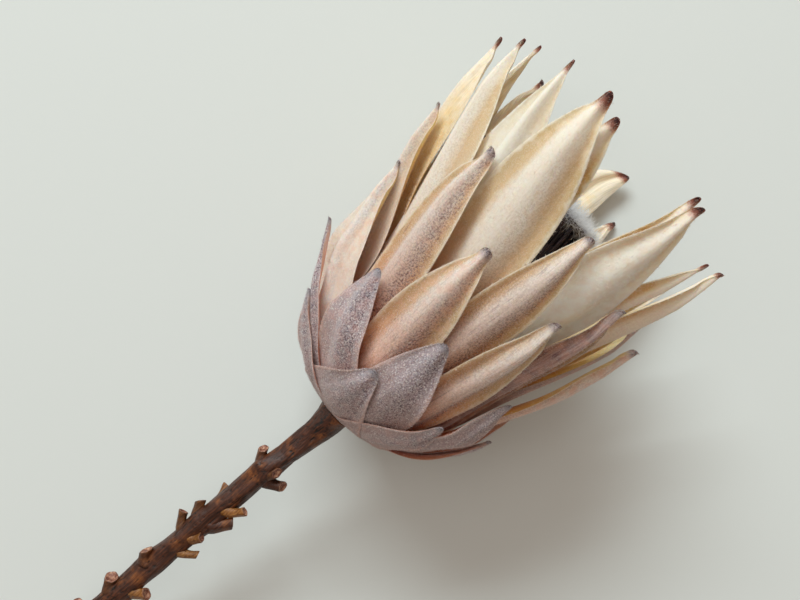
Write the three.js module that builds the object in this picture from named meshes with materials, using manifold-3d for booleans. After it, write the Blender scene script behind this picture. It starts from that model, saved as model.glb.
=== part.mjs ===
// A dried king protea head on its woody stem, lying on its side on a surface.
// Millimetres, +Z up. +X runs from the cut end of the stem to the open mouth of the head.
// The origin is on the surface, under the middle of the whole flower's box.

import * as THREE from 'three';
import { mergeVertices } from 'three/addons/utils/BufferGeometryUtils.js';
import Module from 'manifold-3d';

const wasm = await Module();
wasm.setup();

// How the flower lies. The head is built along its own axis: a station is a distance along
// that axis from the base of the head, and azimuth 0 faces up and grows towards -Y.
const HEAD_BASE = [-0.1, -1, 39.1];        // the base of the head, over the surface
const AXIS_RISE = 6.5;                    // degrees, the mouth lies higher than the base

// Outline of the closed head: a bowl, then a wall that opens a little to the mouth
const BOWL_RADIUS = 40.6;
const BOWL_TOP = 27;
const BOWL_DEPTH = 31;
const BOWL_FULLNESS = 1.6;
const MOUTH_RADIUS = 53;
const MOUTH_STATION = 125;

const rad = THREE.MathUtils.degToRad;
const clamp = THREE.MathUtils.clamp;
const GOLDEN_ANGLE = Math.PI * (3 - Math.sqrt(5));

function smooth(x) {
  const t = clamp(x, 0, 1);
  return t * t * (3 - 2 * t);
}

function outlineRadius(station) {
  const depth = clamp((BOWL_TOP - station) / BOWL_DEPTH, 0, 1);
  if (station < BOWL_TOP) return BOWL_RADIUS * Math.sqrt(Math.max(1 - depth ** BOWL_FULLNESS, 0));
  return BOWL_RADIUS + (MOUTH_RADIUS - BOWL_RADIUS) * (station - BOWL_TOP) / (MOUTH_STATION - BOWL_TOP);
}

// Rows of bracts, from the outside in.
// root: station where the bract leaves the receptacle; cover: how deep it starts under the
// outline; from, clear: stations between which it comes out from under its neighbours.
// ridge: height of the rib along the middle; broad: share of the length at full width;
// taper, fade, blunt: how it narrows and how round it ends; foot: width at the root as a share;
// curl: radius across the tip, from the share `roll` of the length.
const ROWS = {
  skirt: { root: -2.4, cover: 0, from: 0, clear: 1, ridge: 0.6, thick: 1.5,
    broad: 0.3, taper: 1.45, fade: 1, blunt: 0.11, foot: 0.75, curl: 24, roll: 0.75 },
  lower: { root: 0.4, cover: 2.8, from: 12, clear: 28, ridge: 0.9, thick: 1.5,
    broad: 0.4, taper: 1.8, fade: 1, blunt: 0.12, foot: 0.7, curl: 16, roll: 0.6 },
  short: { root: 4.2, cover: 7.5, from: 20, clear: 62, ridge: 2.2, thick: 1.6,
    broad: 0.5, taper: 2.7, fade: 2, blunt: 0.22, foot: 0.6, curl: 12, roll: 0.5 },
  long: { root: 7.2, cover: 9.5, from: 26, clear: 84, ridge: 2.3, thick: 1.5,
    broad: 0.52, taper: 2.8, fade: 2, blunt: 0.24, foot: 0.55, curl: 12, roll: 0.5 },
  crown: { root: 10.8, cover: 13.8, from: 34, clear: 124, ridge: 2.4, thick: 1.4,
    broad: 0.5, taper: 3.2, fade: 2, blunt: 0.17, foot: 0.5, curl: 12, roll: 0.5 },
  throat: { root: 13.4, cover: 16.0, from: 40, clear: 130, ridge: 2.0, thick: 1.3,
    broad: 0.5, taper: 3.0, fade: 2, blunt: 0.19, foot: 0.5, curl: 12, roll: 0.5 },
};

// Every bract: azimuth of its root, station of its tip and its greatest width.
// lean: degrees that it drifts sideways by the tip; rim: the tip's own distance from the
// axis, where it stands away from the outline; bend: how late it starts to do so; twist:
// degrees that the blade is turned about its own middle. Any value of the row can be the
// bract's own.
const BRACTS = {
  skirt: [
    { at: -46, tip: 22.2, width: 19, lean: -14, rim: 42 },
    { at: -18, tip: 23, width: 34, lean: 14, broad: 0.2, taper: 1.15 },
    { at: 30, tip: 25, width: 20, lean: 8 }, { at: 82, tip: 29, width: 18, lean: 6, rim: 43 },
    { at: 122, tip: 22, width: 20 }, { at: 163, tip: 24, width: 21, rim: 43.9 },
    { at: 198, tip: 24, width: 21, rim: 44.1 }, { at: 240, tip: 22, width: 21 },
  ],
  lower: [
    { at: -40, tip: 42.6, width: 11, lean: -30, rim: 52, bend: 3 },
    { at: -17, tip: 45, width: 22, lean: -18, foot: 0.62 },
    { at: 13, tip: 45, width: 25, lean: -5, foot: 0.55 },
    { at: 52, tip: 45, width: 18, lean: 2 }, { at: 97, tip: 44, width: 18 },
    { at: 143, tip: 45, width: 20 }, { at: 191, tip: 44, width: 20 },
    { at: 236, tip: 45, width: 20 },
  ],
  short: [
    { at: -58, tip: 71.6, width: 29, lean: -12.5, rim: 48.5, broad: 0.33, taper: 1.4, fade: 1,
      foot: 0.42,
      from: 14, clear: 42, twist: 12, blunt: 0.08 },
    { at: -8, tip: 74, width: 21 },
    { at: 31, tip: 74, width: 18 }, { at: 78, tip: 86, width: 16, rim: 52 },
    { at: 122, tip: 74, width: 18 }, { at: 166, tip: 73, width: 20, rim: 48 },
    { at: 210, tip: 74, width: 20 }, { at: 255, tip: 72, width: 18 },
  ],
  long: [
    { at: -72, tip: 93.6, width: 20, rim: 53, twist: 12, broad: 0.45, taper: 1.8, fade: 1, blunt: 0.1 },
    { at: -34, tip: 95, width: 20 },
    { at: 13, tip: 98, width: 19 }, { at: 55, tip: 91, width: 16, lean: -10 },
    { at: 100, tip: 95, width: 17 }, { at: 145, tip: 97, width: 18 },
    { at: 189, tip: 95, width: 18 }, { at: 234, tip: 96, width: 18 },
  ],
  crown: [
    { at: -84, tip: 122, width: 26, lean: 9, rim: 53.6, bend: 2.4, blunt: 0.09 },
    { at: -56, tip: 125, width: 22, lean: -4, rim: 53, blunt: 0.1 },
    { at: -3, tip: 127, width: 27, lean: -16 }, { at: 42, tip: 127, width: 26, lean: -13 },
    { at: 82, tip: 124, width: 18, lean: -2, rim: 51 }, { at: 134, tip: 120, width: 20, rim: 50 },
    { at: 167, tip: 114, width: 20, rim: 53.4 }, { at: 208, tip: 119, width: 20 },
    { at: 247, tip: 118, width: 20, blunt: 0.12 },
  ],
  throat: [
    { at: -34, tip: 129, width: 25, rim: 53, blunt: 0.09 },
    { at: -2, tip: 127, width: 18, lean: -10, rim: 43 },
    { at: 30, tip: 129, width: 18, rim: 47 },
    { at: 56, tip: 120, width: 18, lean: -2, rim: 52, blunt: 0.08 },
    { at: 104, tip: 117, width: 18, rim: 48 }, { at: 154, tip: 111, width: 14, rim: 40 },
    { at: 168, tip: 127, width: 18, rim: 47 }, { at: 200, tip: 122, width: 17, rim: 40 },
    { at: 234, tip: 127, width: 17, rim: 46 }, { at: 252, tip: 133, width: 20, rim: 47, blunt: 0.1 },
    { at: 241, tip: 109, width: 12, rim: 39 }, { at: 262, tip: 98, width: 12, rim: 34 },
  ],
};
// Shares of the length and of half the width where a bract has its vertices
const ALONG = {
  short: [0, 0.2, 0.42, 0.62, 0.8, 0.92, 1],
  long: [0, 0.12, 0.26, 0.42, 0.58, 0.72, 0.84, 0.93, 1],
};
const ACROSS = [-1, -0.5, 0, 0.5, 1];
const LONG_BRACT = 50;
const PATH_STEPS = 60;
const PATH_CROWDING = 1.5;                // more steps where the bowl curves most
const LATE_BEND = 3;
const TIP_SHARE = 0.12;                   // width left at the very tip, as a share
const WAVE_LENGTH = 1.3;                  // rib, groove and raised margin across half a width
const TWIST_FULL = 0.5;                   // share of the length where a twist is complete
const RIDGE_FULL = 0.35;                  // share of the length where the rib is at its height
const RIDGE_FADES = 0.85;                 // share where it starts to fade
const RIDGE_LEFT = 0.25;                  // share of its height left at the tip
const TIP_THINS = 0.8;
const TIP_THICKNESS = 0.5;
const MARGIN_THINNING = 0.45;

// Slices of the receptacle that carry the bracts: stations of their faces and their radii
const RECEPTACLE = {
  outer: [[-4, 6.5], [-3, 12.5], [-1, 17], [3.6, 19]],
  middle: [[3.9, 17.6], [6.5, 20.4], [9.6, 21.4]],
  inner: [[9.9, 18.8], [12, 20.2], [16.5, 19.6]],
};
const RECEPTACLE_SIDES = 20;

// The floret cone: the packed florets as a core, with their styles standing out of it
const FLORET_CORE = [[16.8, 17], [32, 20.5], [62, 23]];
const FLORET_CORE_SIDES = 24;
const FLORET_COUNT = 54;
const FLORET_SIDES = 5;
const FLORET_ROOT = { station: 59, spread: 21, radius: 2.2 };
const FLORET_TIP = { station: 104, drop: 3.5, spread: 18, radius: 1.3 };

// White wool on the floret tips: a cap that follows them, and pointed tufts splayed from it
const WOOL_RADIUS = 20;
const WOOL_RINGS = [0, 0.35, 0.7, 1];
const WOOL_SIDES = 20;
const WOOL_THICK = 3.4;
const WOOL_GAP = 0.85;
const WOOL_TUFTS = 26;
const WOOL_TUFT = { length: 6.5, radius: 2.2, point: 0.5, sides: 5,
  sunk: 0.5, reach: 0.88, splay: 1.16, turn: 0.12 };

// The stem: station, sideways drift, radius
const STEM = [
  [-4.3, 0, 5.9], [-8, 0, 5.0], [-15, 0.2, 4.2], [-27, 1, 3.8], [-32, 1.7, 4.3], [-36, 2.2, 4.9],
  [-41, 2.3, 4.1], [-50, 2.5, 3.9], [-61, 3.2, 4.0], [-66, 3.5, 4.5], [-73, 3.8, 4.1],
  [-81, 4.4, 4.0], [-89, 4.9, 4.5], [-97, 5, 4.1], [-106, 5.1, 4.5], [-113, 5.4, 4.0],
  [-124, 6.1, 4.3], [-134, 6.8, 4.1],
];
const STEM_SIDES = 10;
const STEM_UNEVEN = 0.05;

// Stumps of the leaf stalks: station of the foot, azimuth round the stem, how far the
// stump runs towards the head, how far out it ends, and its width
const STUMPS = [
  { foot: -36, at: -88, along: 6, out: 6.6, width: 3.6 },
  { foot: -36, at: 40, along: 4.5, out: 6.6, width: 3.8 },
  { foot: -39, at: 88, along: 3.5, out: 9.6, width: 4.2 },
  { foot: -57, at: 62, along: 7.5, out: 8.6, width: 3.2 },
  { foot: -65, at: 84, along: 8, out: 8.2, width: 4.4 },
  { foot: -66, at: -90, along: 6, out: 6.4, width: 3.8 },
  { foot: -74, at: -88, along: 6.5, out: 8, width: 3.4 },
  { foot: -72, at: 44, along: 4.5, out: 6.4, width: 3.6 },
  { foot: -80, at: 78, along: 6.5, out: 9.6, width: 3 },
  { foot: -90, at: -60, along: 4, out: 6.6, width: 4.8 },
  { foot: -102, at: 68, along: 4.5, out: 8.6, width: 4.4 },
  { foot: -108, at: -72, along: 6, out: 7.6, width: 4.4 },
  { foot: -45, at: 168, along: 6, out: 7.4, width: 3.6 },
  { foot: -58, at: 214, along: 6, out: 7.8, width: 3.6 },
  { foot: -84, at: 158, along: 6, out: 7.6, width: 3.8 },
  { foot: -97, at: 206, along: 6, out: 7.2, width: 3.6 },
  { foot: -117, at: 130, along: 6, out: 7.8, width: 3.8 },
  { foot: -119, at: 8, along: 6, out: 7.2, width: 3.8 },
  { foot: -126, at: 262, along: 6, out: 7.6, width: 3.6 },
];
const STUMP_SIDES = 6;
const STUMP_TAPER = 0.86;
const STUMP_ROOT = 1.6;                   // how far from the stem's middle a stump starts

// The space under the surface
const UNDER = { long: 600, wide: 400, deep: 40 };

const MERGE_WITHIN = 1e-4;

// A closed geometry as a solid that can be joined and cut
function solidOf(geometry) {
  const bare = new THREE.BufferGeometry();
  bare.setAttribute('position', geometry.getAttribute('position'));
  bare.setIndex(geometry.getIndex());
  const merged = mergeVertices(bare, MERGE_WITHIN);
  const corners = merged.getIndex().array;
  const kept = [];
  for (let k = 0; k < corners.length; k += 3) {
    const [a, b, c] = corners.slice(k, k + 3);
    if (a !== b && b !== c && c !== a) kept.push(a, b, c);
  }
  return new wasm.Manifold(new wasm.Mesh({
    numProp: 3,
    vertProperties: merged.getAttribute('position').array,
    triVerts: Uint32Array.from(kept),
  }));
}

// All solids grown together: the one body that holds, with no pocket sealed inside it
function grownTogether(solids) {
  const bodies = wasm.Manifold.union(solids).decompose();
  return bodies.reduce((best, body) => (body.volume() > best.volume() ? body : best));
}

// The solid as a named mesh, its own place in the head's frame kept in its vertices
function piece(name, solid, finish) {
  const mesh = solid.getMesh();
  const geometry = new THREE.BufferGeometry();
  geometry.setAttribute('position', new THREE.BufferAttribute(mesh.vertProperties, 3));
  geometry.setIndex(new THREE.BufferAttribute(mesh.triVerts, 1));
  geometry.computeVertexNormals();
  const material = new THREE.MeshStandardMaterial(finish);
  const part = new THREE.Mesh(geometry, material);
  part.name = name;
  return part;
}

// Turned solid about the head's axis from [station, radius] points
function turned(profile, sides) {
  const first = profile[0];
  const last = profile[profile.length - 1];
  const points = [[first[0], 0], ...profile, [last[0], 0]].map(([s, r]) => new THREE.Vector2(r, s));
  const lathe = new THREE.LatheGeometry(points, sides);
  return solidOf(lathe.rotateZ(-Math.PI / 2));
}

// Tapered peg between two points
function peg(foot, end, footRadius, endRadius, sides) {
  const run = new THREE.Vector3().subVectors(end, foot);
  const geometry = new THREE.CylinderGeometry(endRadius, footRadius, run.length(), sides);
  geometry.translate(0, run.length() / 2, 0);
  const turn = new THREE.Quaternion().setFromUnitVectors(new THREE.Vector3(0, 1, 0), run.normalize());
  geometry.applyQuaternion(turn).translate(foot.x, foot.y, foot.z);
  return solidOf(geometry);
}

// A point of the head from its station, distance from the axis and azimuth in radians
function onHead(station, radius, azimuth) {
  return new THREE.Vector3(station, -radius * Math.sin(azimuth), radius * Math.cos(azimuth));
}

// Middle line of a bract: station and radius at a share of its length, with its direction
function middleLine(row, bract) {
  const stations = [];
  const radii = [];
  const lengths = [0];
  const full = bract.tip - row.root;
  const { cover: depth, from, clear } = { ...row, ...bract };
  const cover = (s) => depth * (1 - smooth((s - from) / (clear - from)));
  const free = (s) => outlineRadius(s) - cover(s);
  const outward = (bract.rim ?? free(bract.tip)) - free(bract.tip);
  for (let k = 0; k <= PATH_STEPS; k += 1) {
    const share = (k / PATH_STEPS) ** PATH_CROWDING;
    const s = row.root + full * share;
    stations.push(s);
    radii.push(free(s) + outward * share ** (bract.bend ?? LATE_BEND));
    if (k > 0) lengths.push(lengths[k - 1] + Math.hypot(s - stations[k - 1], radii[k] - radii[k - 1]));
  }
  return (share) => {
    const reach = share * lengths[PATH_STEPS];
    let k = 1;
    while (k < PATH_STEPS && lengths[k] < reach) k += 1;
    const part = (reach - lengths[k - 1]) / (lengths[k] - lengths[k - 1]);
    const along = new THREE.Vector2(stations[k] - stations[k - 1], radii[k] - radii[k - 1]).normalize();
    return {
      s: THREE.MathUtils.lerp(stations[k - 1], stations[k], part),
      r: THREE.MathUtils.lerp(radii[k - 1], radii[k], part),
      along,
    };
  };
}

// Share of the greatest width at a share of the length
function widthShare(row, bract, u) {
  const { broad, foot, taper, fade, blunt } = { ...row, ...bract };
  if (u < broad) return foot + (1 - foot) * Math.sin(Math.PI / 2 * u / broad);
  const x = (u - broad) / (1 - broad);
  const body = (1 - blunt) * (1 - x ** taper) ** fade;
  const finger = blunt * Math.sqrt(Math.max(1 - x ** 8, 0));
  return Math.max(body + finger, TIP_SHARE);
}

// One bract: a curved blade with a rib, a groove on each side of it and raised margins
function bractSolid(row, bract) {
  const line = middleLine(row, bract);
  const outer = [];
  const inner = [];
  const steps = bract.tip - row.root > LONG_BRACT ? ALONG.long : ALONG.short;
  steps.forEach((u) => {
    const { s, r, along } = line(u);
    const rolled = smooth((u - row.roll) / (1 - row.roll));
    const across = 1 / ((1 - rolled) / r + rolled / row.curl);
    const azimuth = rad(bract.at + (bract.lean ?? 0) * smooth(u));
    const facing = azimuth + rad(bract.twist ?? 0) * smooth(u / TWIST_FULL);
    const fade = clamp(THREE.MathUtils.mapLinear(u, RIDGE_FADES, 1, 1, RIDGE_LEFT), RIDGE_LEFT, 1);
    const ridge = row.ridge * smooth(u / RIDGE_FULL) * fade;
    const thin = clamp(THREE.MathUtils.mapLinear(u, TIP_THINS, 1, 1, TIP_THICKNESS), TIP_THICKNESS, 1);
    const put = (lift, drop, aside) => {
      const outwards = along.x * lift - drop;
      const y = -outwards * Math.sin(facing) - aside * Math.cos(facing);
      const z = outwards * Math.cos(facing) - aside * Math.sin(facing);
      return onHead(s - along.y * lift, r, azimuth).add(new THREE.Vector3(0, y, z));
    };
    ACROSS.forEach((v) => {
      const angle = v * bract.width * widthShare(row, bract, u) / 2 / across;
      const relief = ridge * (1 + Math.cos(2 * Math.PI * v / WAVE_LENGTH)) / 2;
      const drop = across * (1 - Math.cos(angle));
      const aside = across * Math.sin(angle);
      const thick = row.thick * (1 - MARGIN_THINNING * v * v) * thin;
      outer.push(put(relief, drop, aside));
      inner.push(put(relief - thick * Math.cos(angle), drop, aside - thick * Math.sin(angle)));
    });
  });
  return bladeSolid(outer, inner, steps.length, ACROSS.length);
}

// Closed blade from its outer and inner face, both split into triangles the same way
function bladeSolid(outer, inner, rows, columns) {
  const corners = [];
  const out = (i, j) => i * columns + j;
  const back = (i, j) => rows * columns + i * columns + j;
  const quad = (a, b, c, d) => corners.push(a, b, c, a, c, d);
  const tip = rows - 1;
  const side = columns - 1;
  for (let i = 0; i < tip; i += 1) {
    for (let j = 0; j < side; j += 1) {
      quad(out(i, j), out(i, j + 1), out(i + 1, j + 1), out(i + 1, j));
      quad(back(i, j), back(i + 1, j), back(i + 1, j + 1), back(i, j + 1));
    }
    quad(out(i, 0), out(i + 1, 0), back(i + 1, 0), back(i, 0));
    quad(out(i, side), back(i, side), back(i + 1, side), out(i + 1, side));
  }
  for (let j = 0; j < side; j += 1) {
    quad(out(0, j), back(0, j), back(0, j + 1), out(0, j + 1));
    quad(out(tip, j), out(tip, j + 1), back(tip, j + 1), back(tip, j));
  }
  const geometry = new THREE.BufferGeometry().setFromPoints([...outer, ...inner]);
  geometry.setIndex(corners);
  return solidOf(geometry);
}

function rowsOfBracts(names) {
  return names.flatMap((name) => BRACTS[name].map((bract) => bractSolid(ROWS[name], bract)));
}

function bractNode(name, rows, slice, color) {
  const collar = turned(slice, RECEPTACLE_SIDES);
  const grown = grownTogether([collar, ...rowsOfBracts(rows)]);
  return piece(name, grown.subtract(underSurface), { color, roughness: 0.95, metalness: 0 });
}

// Florets stand in a golden-angle spiral, splayed at the foot and drawn together at the tip
function floretCone() {
  const styles = [];
  for (let k = 0; k < FLORET_COUNT; k += 1) {
    const share = (k + 0.5) / FLORET_COUNT;
    const azimuth = k * GOLDEN_ANGLE;
    const foot = onHead(FLORET_ROOT.station, FLORET_ROOT.spread * Math.sqrt(share), azimuth);
    const end = onHead(FLORET_TIP.station - FLORET_TIP.drop * share,
      FLORET_TIP.spread * Math.sqrt(share), azimuth);
    styles.push(peg(foot, end, FLORET_ROOT.radius, FLORET_TIP.radius, FLORET_SIDES));
  }
  const core = turned(FLORET_CORE, FLORET_CORE_SIDES);
  return piece('floret_cone', grownTogether([core, ...styles]),
    { color: 0x2a2024, roughness: 0.9, metalness: 0 });
}

// A shallow cap of wool that follows the floret tips, with pointed tufts on it
function floretWool() {
  const under = (r) => FLORET_TIP.station + WOOL_GAP
    - FLORET_TIP.drop * (r / FLORET_TIP.spread) ** 2;
  const radii = WOOL_RINGS.map((share) => share * WOOL_RADIUS);
  const underside = radii.map((r) => new THREE.Vector2(r, under(r)));
  const top = radii.slice(0, -1).reverse().map((r) => new THREE.Vector2(r, under(r) + WOOL_THICK));
  const cap = solidOf(new THREE.LatheGeometry([...underside, ...top], WOOL_SIDES).rotateZ(-Math.PI / 2));
  const tufts = [];
  for (let k = 0; k < WOOL_TUFTS; k += 1) {
    const share = (k + 0.5) / WOOL_TUFTS;
    const azimuth = k * GOLDEN_ANGLE;
    const radius = WOOL_RADIUS * WOOL_TUFT.reach * Math.sqrt(share);
    const foot = onHead(under(radius) + WOOL_TUFT.sunk, radius, azimuth);
    const end = onHead(under(radius) + WOOL_TUFT.length, radius * WOOL_TUFT.splay, azimuth + WOOL_TUFT.turn);
    tufts.push(peg(foot, end, WOOL_TUFT.radius, WOOL_TUFT.point, WOOL_TUFT.sides));
  }
  return piece('floret_wool', grownTogether([cap, ...tufts]),
    { color: 0xe4e6ea, roughness: 1, metalness: 0 });
}

// The stem: rings across a knotty line, with the cut stumps of its leaf stalks
function stem() {
  const rings = STEM.map(([station, drift, radius], k) => {
    const ring = [];
    for (let j = 0; j < STEM_SIDES; j += 1) {
      const around = 2 * Math.PI * j / STEM_SIDES;
      const swell = Math.sin(3 * around + 2 * k) + Math.sin(2 * around - k);
      const uneven = 1 + STEM_UNEVEN * swell * Math.sign(k);
      ring.push(onHead(station, radius * uneven, around).add(new THREE.Vector3(0, drift, 0)));
    }
    return ring;
  });
  const corners = [];
  const at = (i, j) => i * STEM_SIDES + (j % STEM_SIDES);
  for (let i = 0; i < rings.length - 1; i += 1) {
    for (let j = 0; j < STEM_SIDES; j += 1) {
      corners.push(at(i, j), at(i + 1, j), at(i, j + 1), at(i, j + 1), at(i + 1, j), at(i + 1, j + 1));
    }
  }
  const end = rings.length - 1;
  for (let j = 1; j < STEM_SIDES - 1; j += 1) {
    corners.push(at(0, 0), at(0, j), at(0, j + 1), at(end, 0), at(end, j + 1), at(end, j));
  }
  const geometry = new THREE.BufferGeometry().setFromPoints(rings.flat());
  geometry.setIndex(corners);
  const stumps = STUMPS.map(({ foot, at: azimuth, along, out, width }) => {
    const drift = new THREE.Vector3(0, stemDrift(foot), 0);
    const from = onHead(foot, STUMP_ROOT, rad(azimuth)).add(drift);
    const to = onHead(foot + along, out, rad(azimuth)).add(drift);
    return peg(from, to, width / 2, width / 2 * STUMP_TAPER, STUMP_SIDES);
  });
  return piece('stem', grownTogether([solidOf(geometry), ...stumps]),
    { color: 0x4a2f22, roughness: 0.55, metalness: 0 });
}

function stemDrift(station) {
  const k = Math.max(1, STEM.findIndex(([s]) => s <= station));
  const [before, after] = [STEM[k - 1], STEM[k]];
  return THREE.MathUtils.mapLinear(station, before[0], after[0], before[1], after[1]);
}

const head = new THREE.Group();
head.rotation.y = -rad(AXIS_RISE);
head.position.set(...HEAD_BASE);
head.updateMatrix();

// What the lowest bracts press flat against: everything under the surface
const underBox = new THREE.BoxGeometry(UNDER.long, UNDER.wide, UNDER.deep);
underBox.translate(0, 0, -UNDER.deep / 2).applyMatrix4(head.matrix.clone().invert());
const underSurface = solidOf(underBox);

head.add(
  bractNode('outer_bracts', ['skirt', 'lower'], RECEPTACLE.outer, 0x9c9296),
  bractNode('middle_bracts', ['short', 'long'], RECEPTACLE.middle, 0xcdaf9f),
  bractNode('inner_bracts', ['crown', 'throat'], RECEPTACLE.inner, 0xe6d6b8),
  floretCone(),
  floretWool(),
  stem(),
);

const flower = new THREE.Group();
flower.add(head);

export default flower;
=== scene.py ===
# A dried king protea flower on its cut woody stem, lying on its side on a pale surface.
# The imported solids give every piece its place, and this script gives the flower its looks.

import math

import bpy
import numpy as np
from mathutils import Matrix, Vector, noise


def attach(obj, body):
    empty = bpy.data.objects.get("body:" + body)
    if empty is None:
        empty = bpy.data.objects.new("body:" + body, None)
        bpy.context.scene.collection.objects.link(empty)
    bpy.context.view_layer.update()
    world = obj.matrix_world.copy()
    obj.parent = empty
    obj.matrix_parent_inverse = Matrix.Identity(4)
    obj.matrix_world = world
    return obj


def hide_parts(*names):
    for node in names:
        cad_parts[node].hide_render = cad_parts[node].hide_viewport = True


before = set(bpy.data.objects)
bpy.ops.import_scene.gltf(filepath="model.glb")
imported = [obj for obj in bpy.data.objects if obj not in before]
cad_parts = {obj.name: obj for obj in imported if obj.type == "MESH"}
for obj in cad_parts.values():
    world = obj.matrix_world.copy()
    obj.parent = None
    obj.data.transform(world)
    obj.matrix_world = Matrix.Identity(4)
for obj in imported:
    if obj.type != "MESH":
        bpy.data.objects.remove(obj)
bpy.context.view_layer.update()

# The stem. A woody stalk with dry, dark brown bark that is cracked lengthwise and a little
# glossy. It was cut off plainly, and it grows into the base of the head, which it carries.

MM = 0.001
HEAD_BASE = (-0.1, -1.0, 39.1)  # base of the head over the surface, in millimetres
AXIS_RISE = math.radians(6.5)  # the mouth lies higher than the base
STEM_LINE = [  # station, sideways drift, radius
    (-4.3, 0, 5.9), (-8, 0, 5.0), (-15, 0.2, 4.2), (-27, 1, 3.8), (-32, 1.7, 4.3), (-36, 2.2, 4.9),
    (-41, 2.3, 4.1), (-50, 2.5, 3.9), (-61, 3.2, 4.0), (-66, 3.5, 4.5), (-73, 3.8, 4.1),
    (-81, 4.4, 4.0), (-89, 4.9, 4.5), (-97, 5, 4.1), (-106, 5.1, 4.5), (-113, 5.4, 4.0),
    (-124, 6.1, 4.3), (-134, 6.8, 4.1),
]
STEM_RINGS = 260
STEM_SIDES = 64
STEM_UNEVEN = 0.05  # share of the radius
BARK_CRACKS = (0.28, 1.3, 20, 0.075)  # depth, spacing, how long for their width, share open
BARK_LUMPS = (0.5, 4.0, 2.4)  # height, width, how much shorter than the cracks
CUT_FRAY = (0.35, 0.9)  # depth and width of the marks on the cut end
CUT_RINGS = (0.9, 0.6, 0.3, 0.04)  # shares of the radius on the cut end


def on_head(station, across, up):
    """A place by the head's axis in millimetres, as metres over the surface."""
    x = HEAD_BASE[0] + station * np.cos(AXIS_RISE) - up * np.sin(AXIS_RISE)
    z = HEAD_BASE[2] + station * np.sin(AXIS_RISE) + up * np.cos(AXIS_RISE)
    return np.stack((x, HEAD_BASE[1] + across, z), axis=-1) * MM


def smooth(x):
    """0 to 1 with a soft start and end."""
    t = np.clip(x, 0, 1)
    return t * t * (3 - 2 * t)


def rough(points, size):
    """Uneven numbers round 0 for places in millimetres, with lumps about `size` wide."""
    return np.array([noise.fractal(Vector(p) / size, 1.0, 2.0, 3) for p in points])


def linear(code):
    """An sRGB hex colour as linear numbers."""
    parts = [int(code[k:k + 2], 16) / 255 for k in (1, 3, 5)]
    return tuple(c / 12.92 if c < 0.04045 else ((c + 0.055) / 1.055) ** 2.4 for c in parts) + (1,)


def add(tree, kind, sockets=None, stops=None, **settings):
    """Adds a node with its settings, its sockets set or linked, and the stops of its ramp.
    A node that is given for a socket is linked by its first output in use."""
    node = tree.nodes.new(kind)
    for name, value in settings.items():
        setattr(node, name, value)
    for key, value in (sockets or {}).items():
        if isinstance(value, bpy.types.Node):
            value = next(output for output in value.outputs if output.enabled)
        if isinstance(value, bpy.types.NodeSocket):
            tree.links.new(value, node.inputs[key])
        else:
            node.inputs[key].default_value = value
    if stops:
        ramp = node.color_ramp.elements
        ramp.remove(ramp[1])
        ramp[0].position = stops[0][0]
        for place, _ in stops[1:]:
            ramp.new(place)
        for stop, (_, colour) in zip(ramp, stops):
            stop.color = linear(colour) if isinstance(colour, str) else (colour, colour, colour, 1)
    return node


def new_material(name):
    """An empty material and its node tree."""
    material = bpy.data.materials.new(name)
    material.use_nodes = True
    material.node_tree.nodes.clear()
    return material, material.node_tree


def close_rings(rings, sides, inwards=False):
    """Quads round a stack of rings and one face on each end, turned round if they point inwards."""
    faces = []
    for i in range(rings - 1):
        for j in range(sides):
            k = (j + 1) % sides
            faces.append((i * sides + j, (i + 1) * sides + j, (i + 1) * sides + k, i * sides + k))
    faces.append(tuple(range(sides)))
    faces.append(tuple((rings - 1) * sides + j for j in reversed(range(sides))))
    return [face[::-1] for face in faces] if inwards else faces


def set_down(name, data):
    """A mesh, a lamp or a camera as an object in the scene."""
    made = bpy.data.objects.new(name, data)
    bpy.context.scene.collection.objects.link(made)
    return made


def placed(name, mesh):
    """A mesh as a piece that rides with the flower."""
    mesh.name = name
    made = set_down(name, mesh)
    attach(made, "root")
    return made


def new_piece(name, points, faces, material, marks):
    """A smooth mesh with its material and its point attributes, as a piece."""
    mesh = bpy.data.meshes.new(name)
    mesh.from_pydata(points.reshape(-1, 3).tolist(), [], faces)
    for mark, values in marks.items():
        wide = values.ndim == 2
        layer = mesh.attributes.new(mark, "FLOAT_VECTOR" if wide else "FLOAT", "POINT")
        layer.data.foreach_set("vector" if wide else "value", values.ravel().astype(np.float32))
    mesh.materials.append(material)
    mesh.shade_smooth()
    mesh.update()
    return placed(name, mesh)


def stem_middle(station):
    """Sideways drift, radius and number of the stretch of the stem at a station."""
    at, drift, radius = zip(*STEM_LINE[::-1])
    count = range(len(at))[::-1]
    return [np.interp(station, at, values) for values in (drift, radius, count)]


# Bark: dead dry tissue over wood, so it is dark, with a dull gloss where it is still whole,
# and warmer and rougher where it has worn to the layer beneath. Its streaks are 0.6 mm wide
# and 17 mm long, the worn patches are 8 mm wide, and the flecks on a cut end 1 mm.
bark, tree = new_material("dry_brown_bark")
spot = add(tree, "ShaderNodeTexCoord").outputs["Object"]
grain = add(tree, "ShaderNodeMapping", {"Vector": spot, "Scale": (60, 1700, 1700)})
streak = add(tree, "ShaderNodeTexNoise", {"Vector": grain, "Scale": 1.0, "Detail": 5.0, "Roughness": 0.65})
patch = add(tree, "ShaderNodeTexNoise", {"Vector": spot, "Scale": 130.0, "Detail": 3.0, "Roughness": 0.6})
fleck = add(tree, "ShaderNodeTexNoise", {"Vector": spot, "Scale": 900.0, "Detail": 3.0})
depth, cut, tone = (add(tree, "ShaderNodeAttribute", attribute_name=mark).outputs["Fac"]
                    for mark in ("depth", "cut", "tone"))
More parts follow.
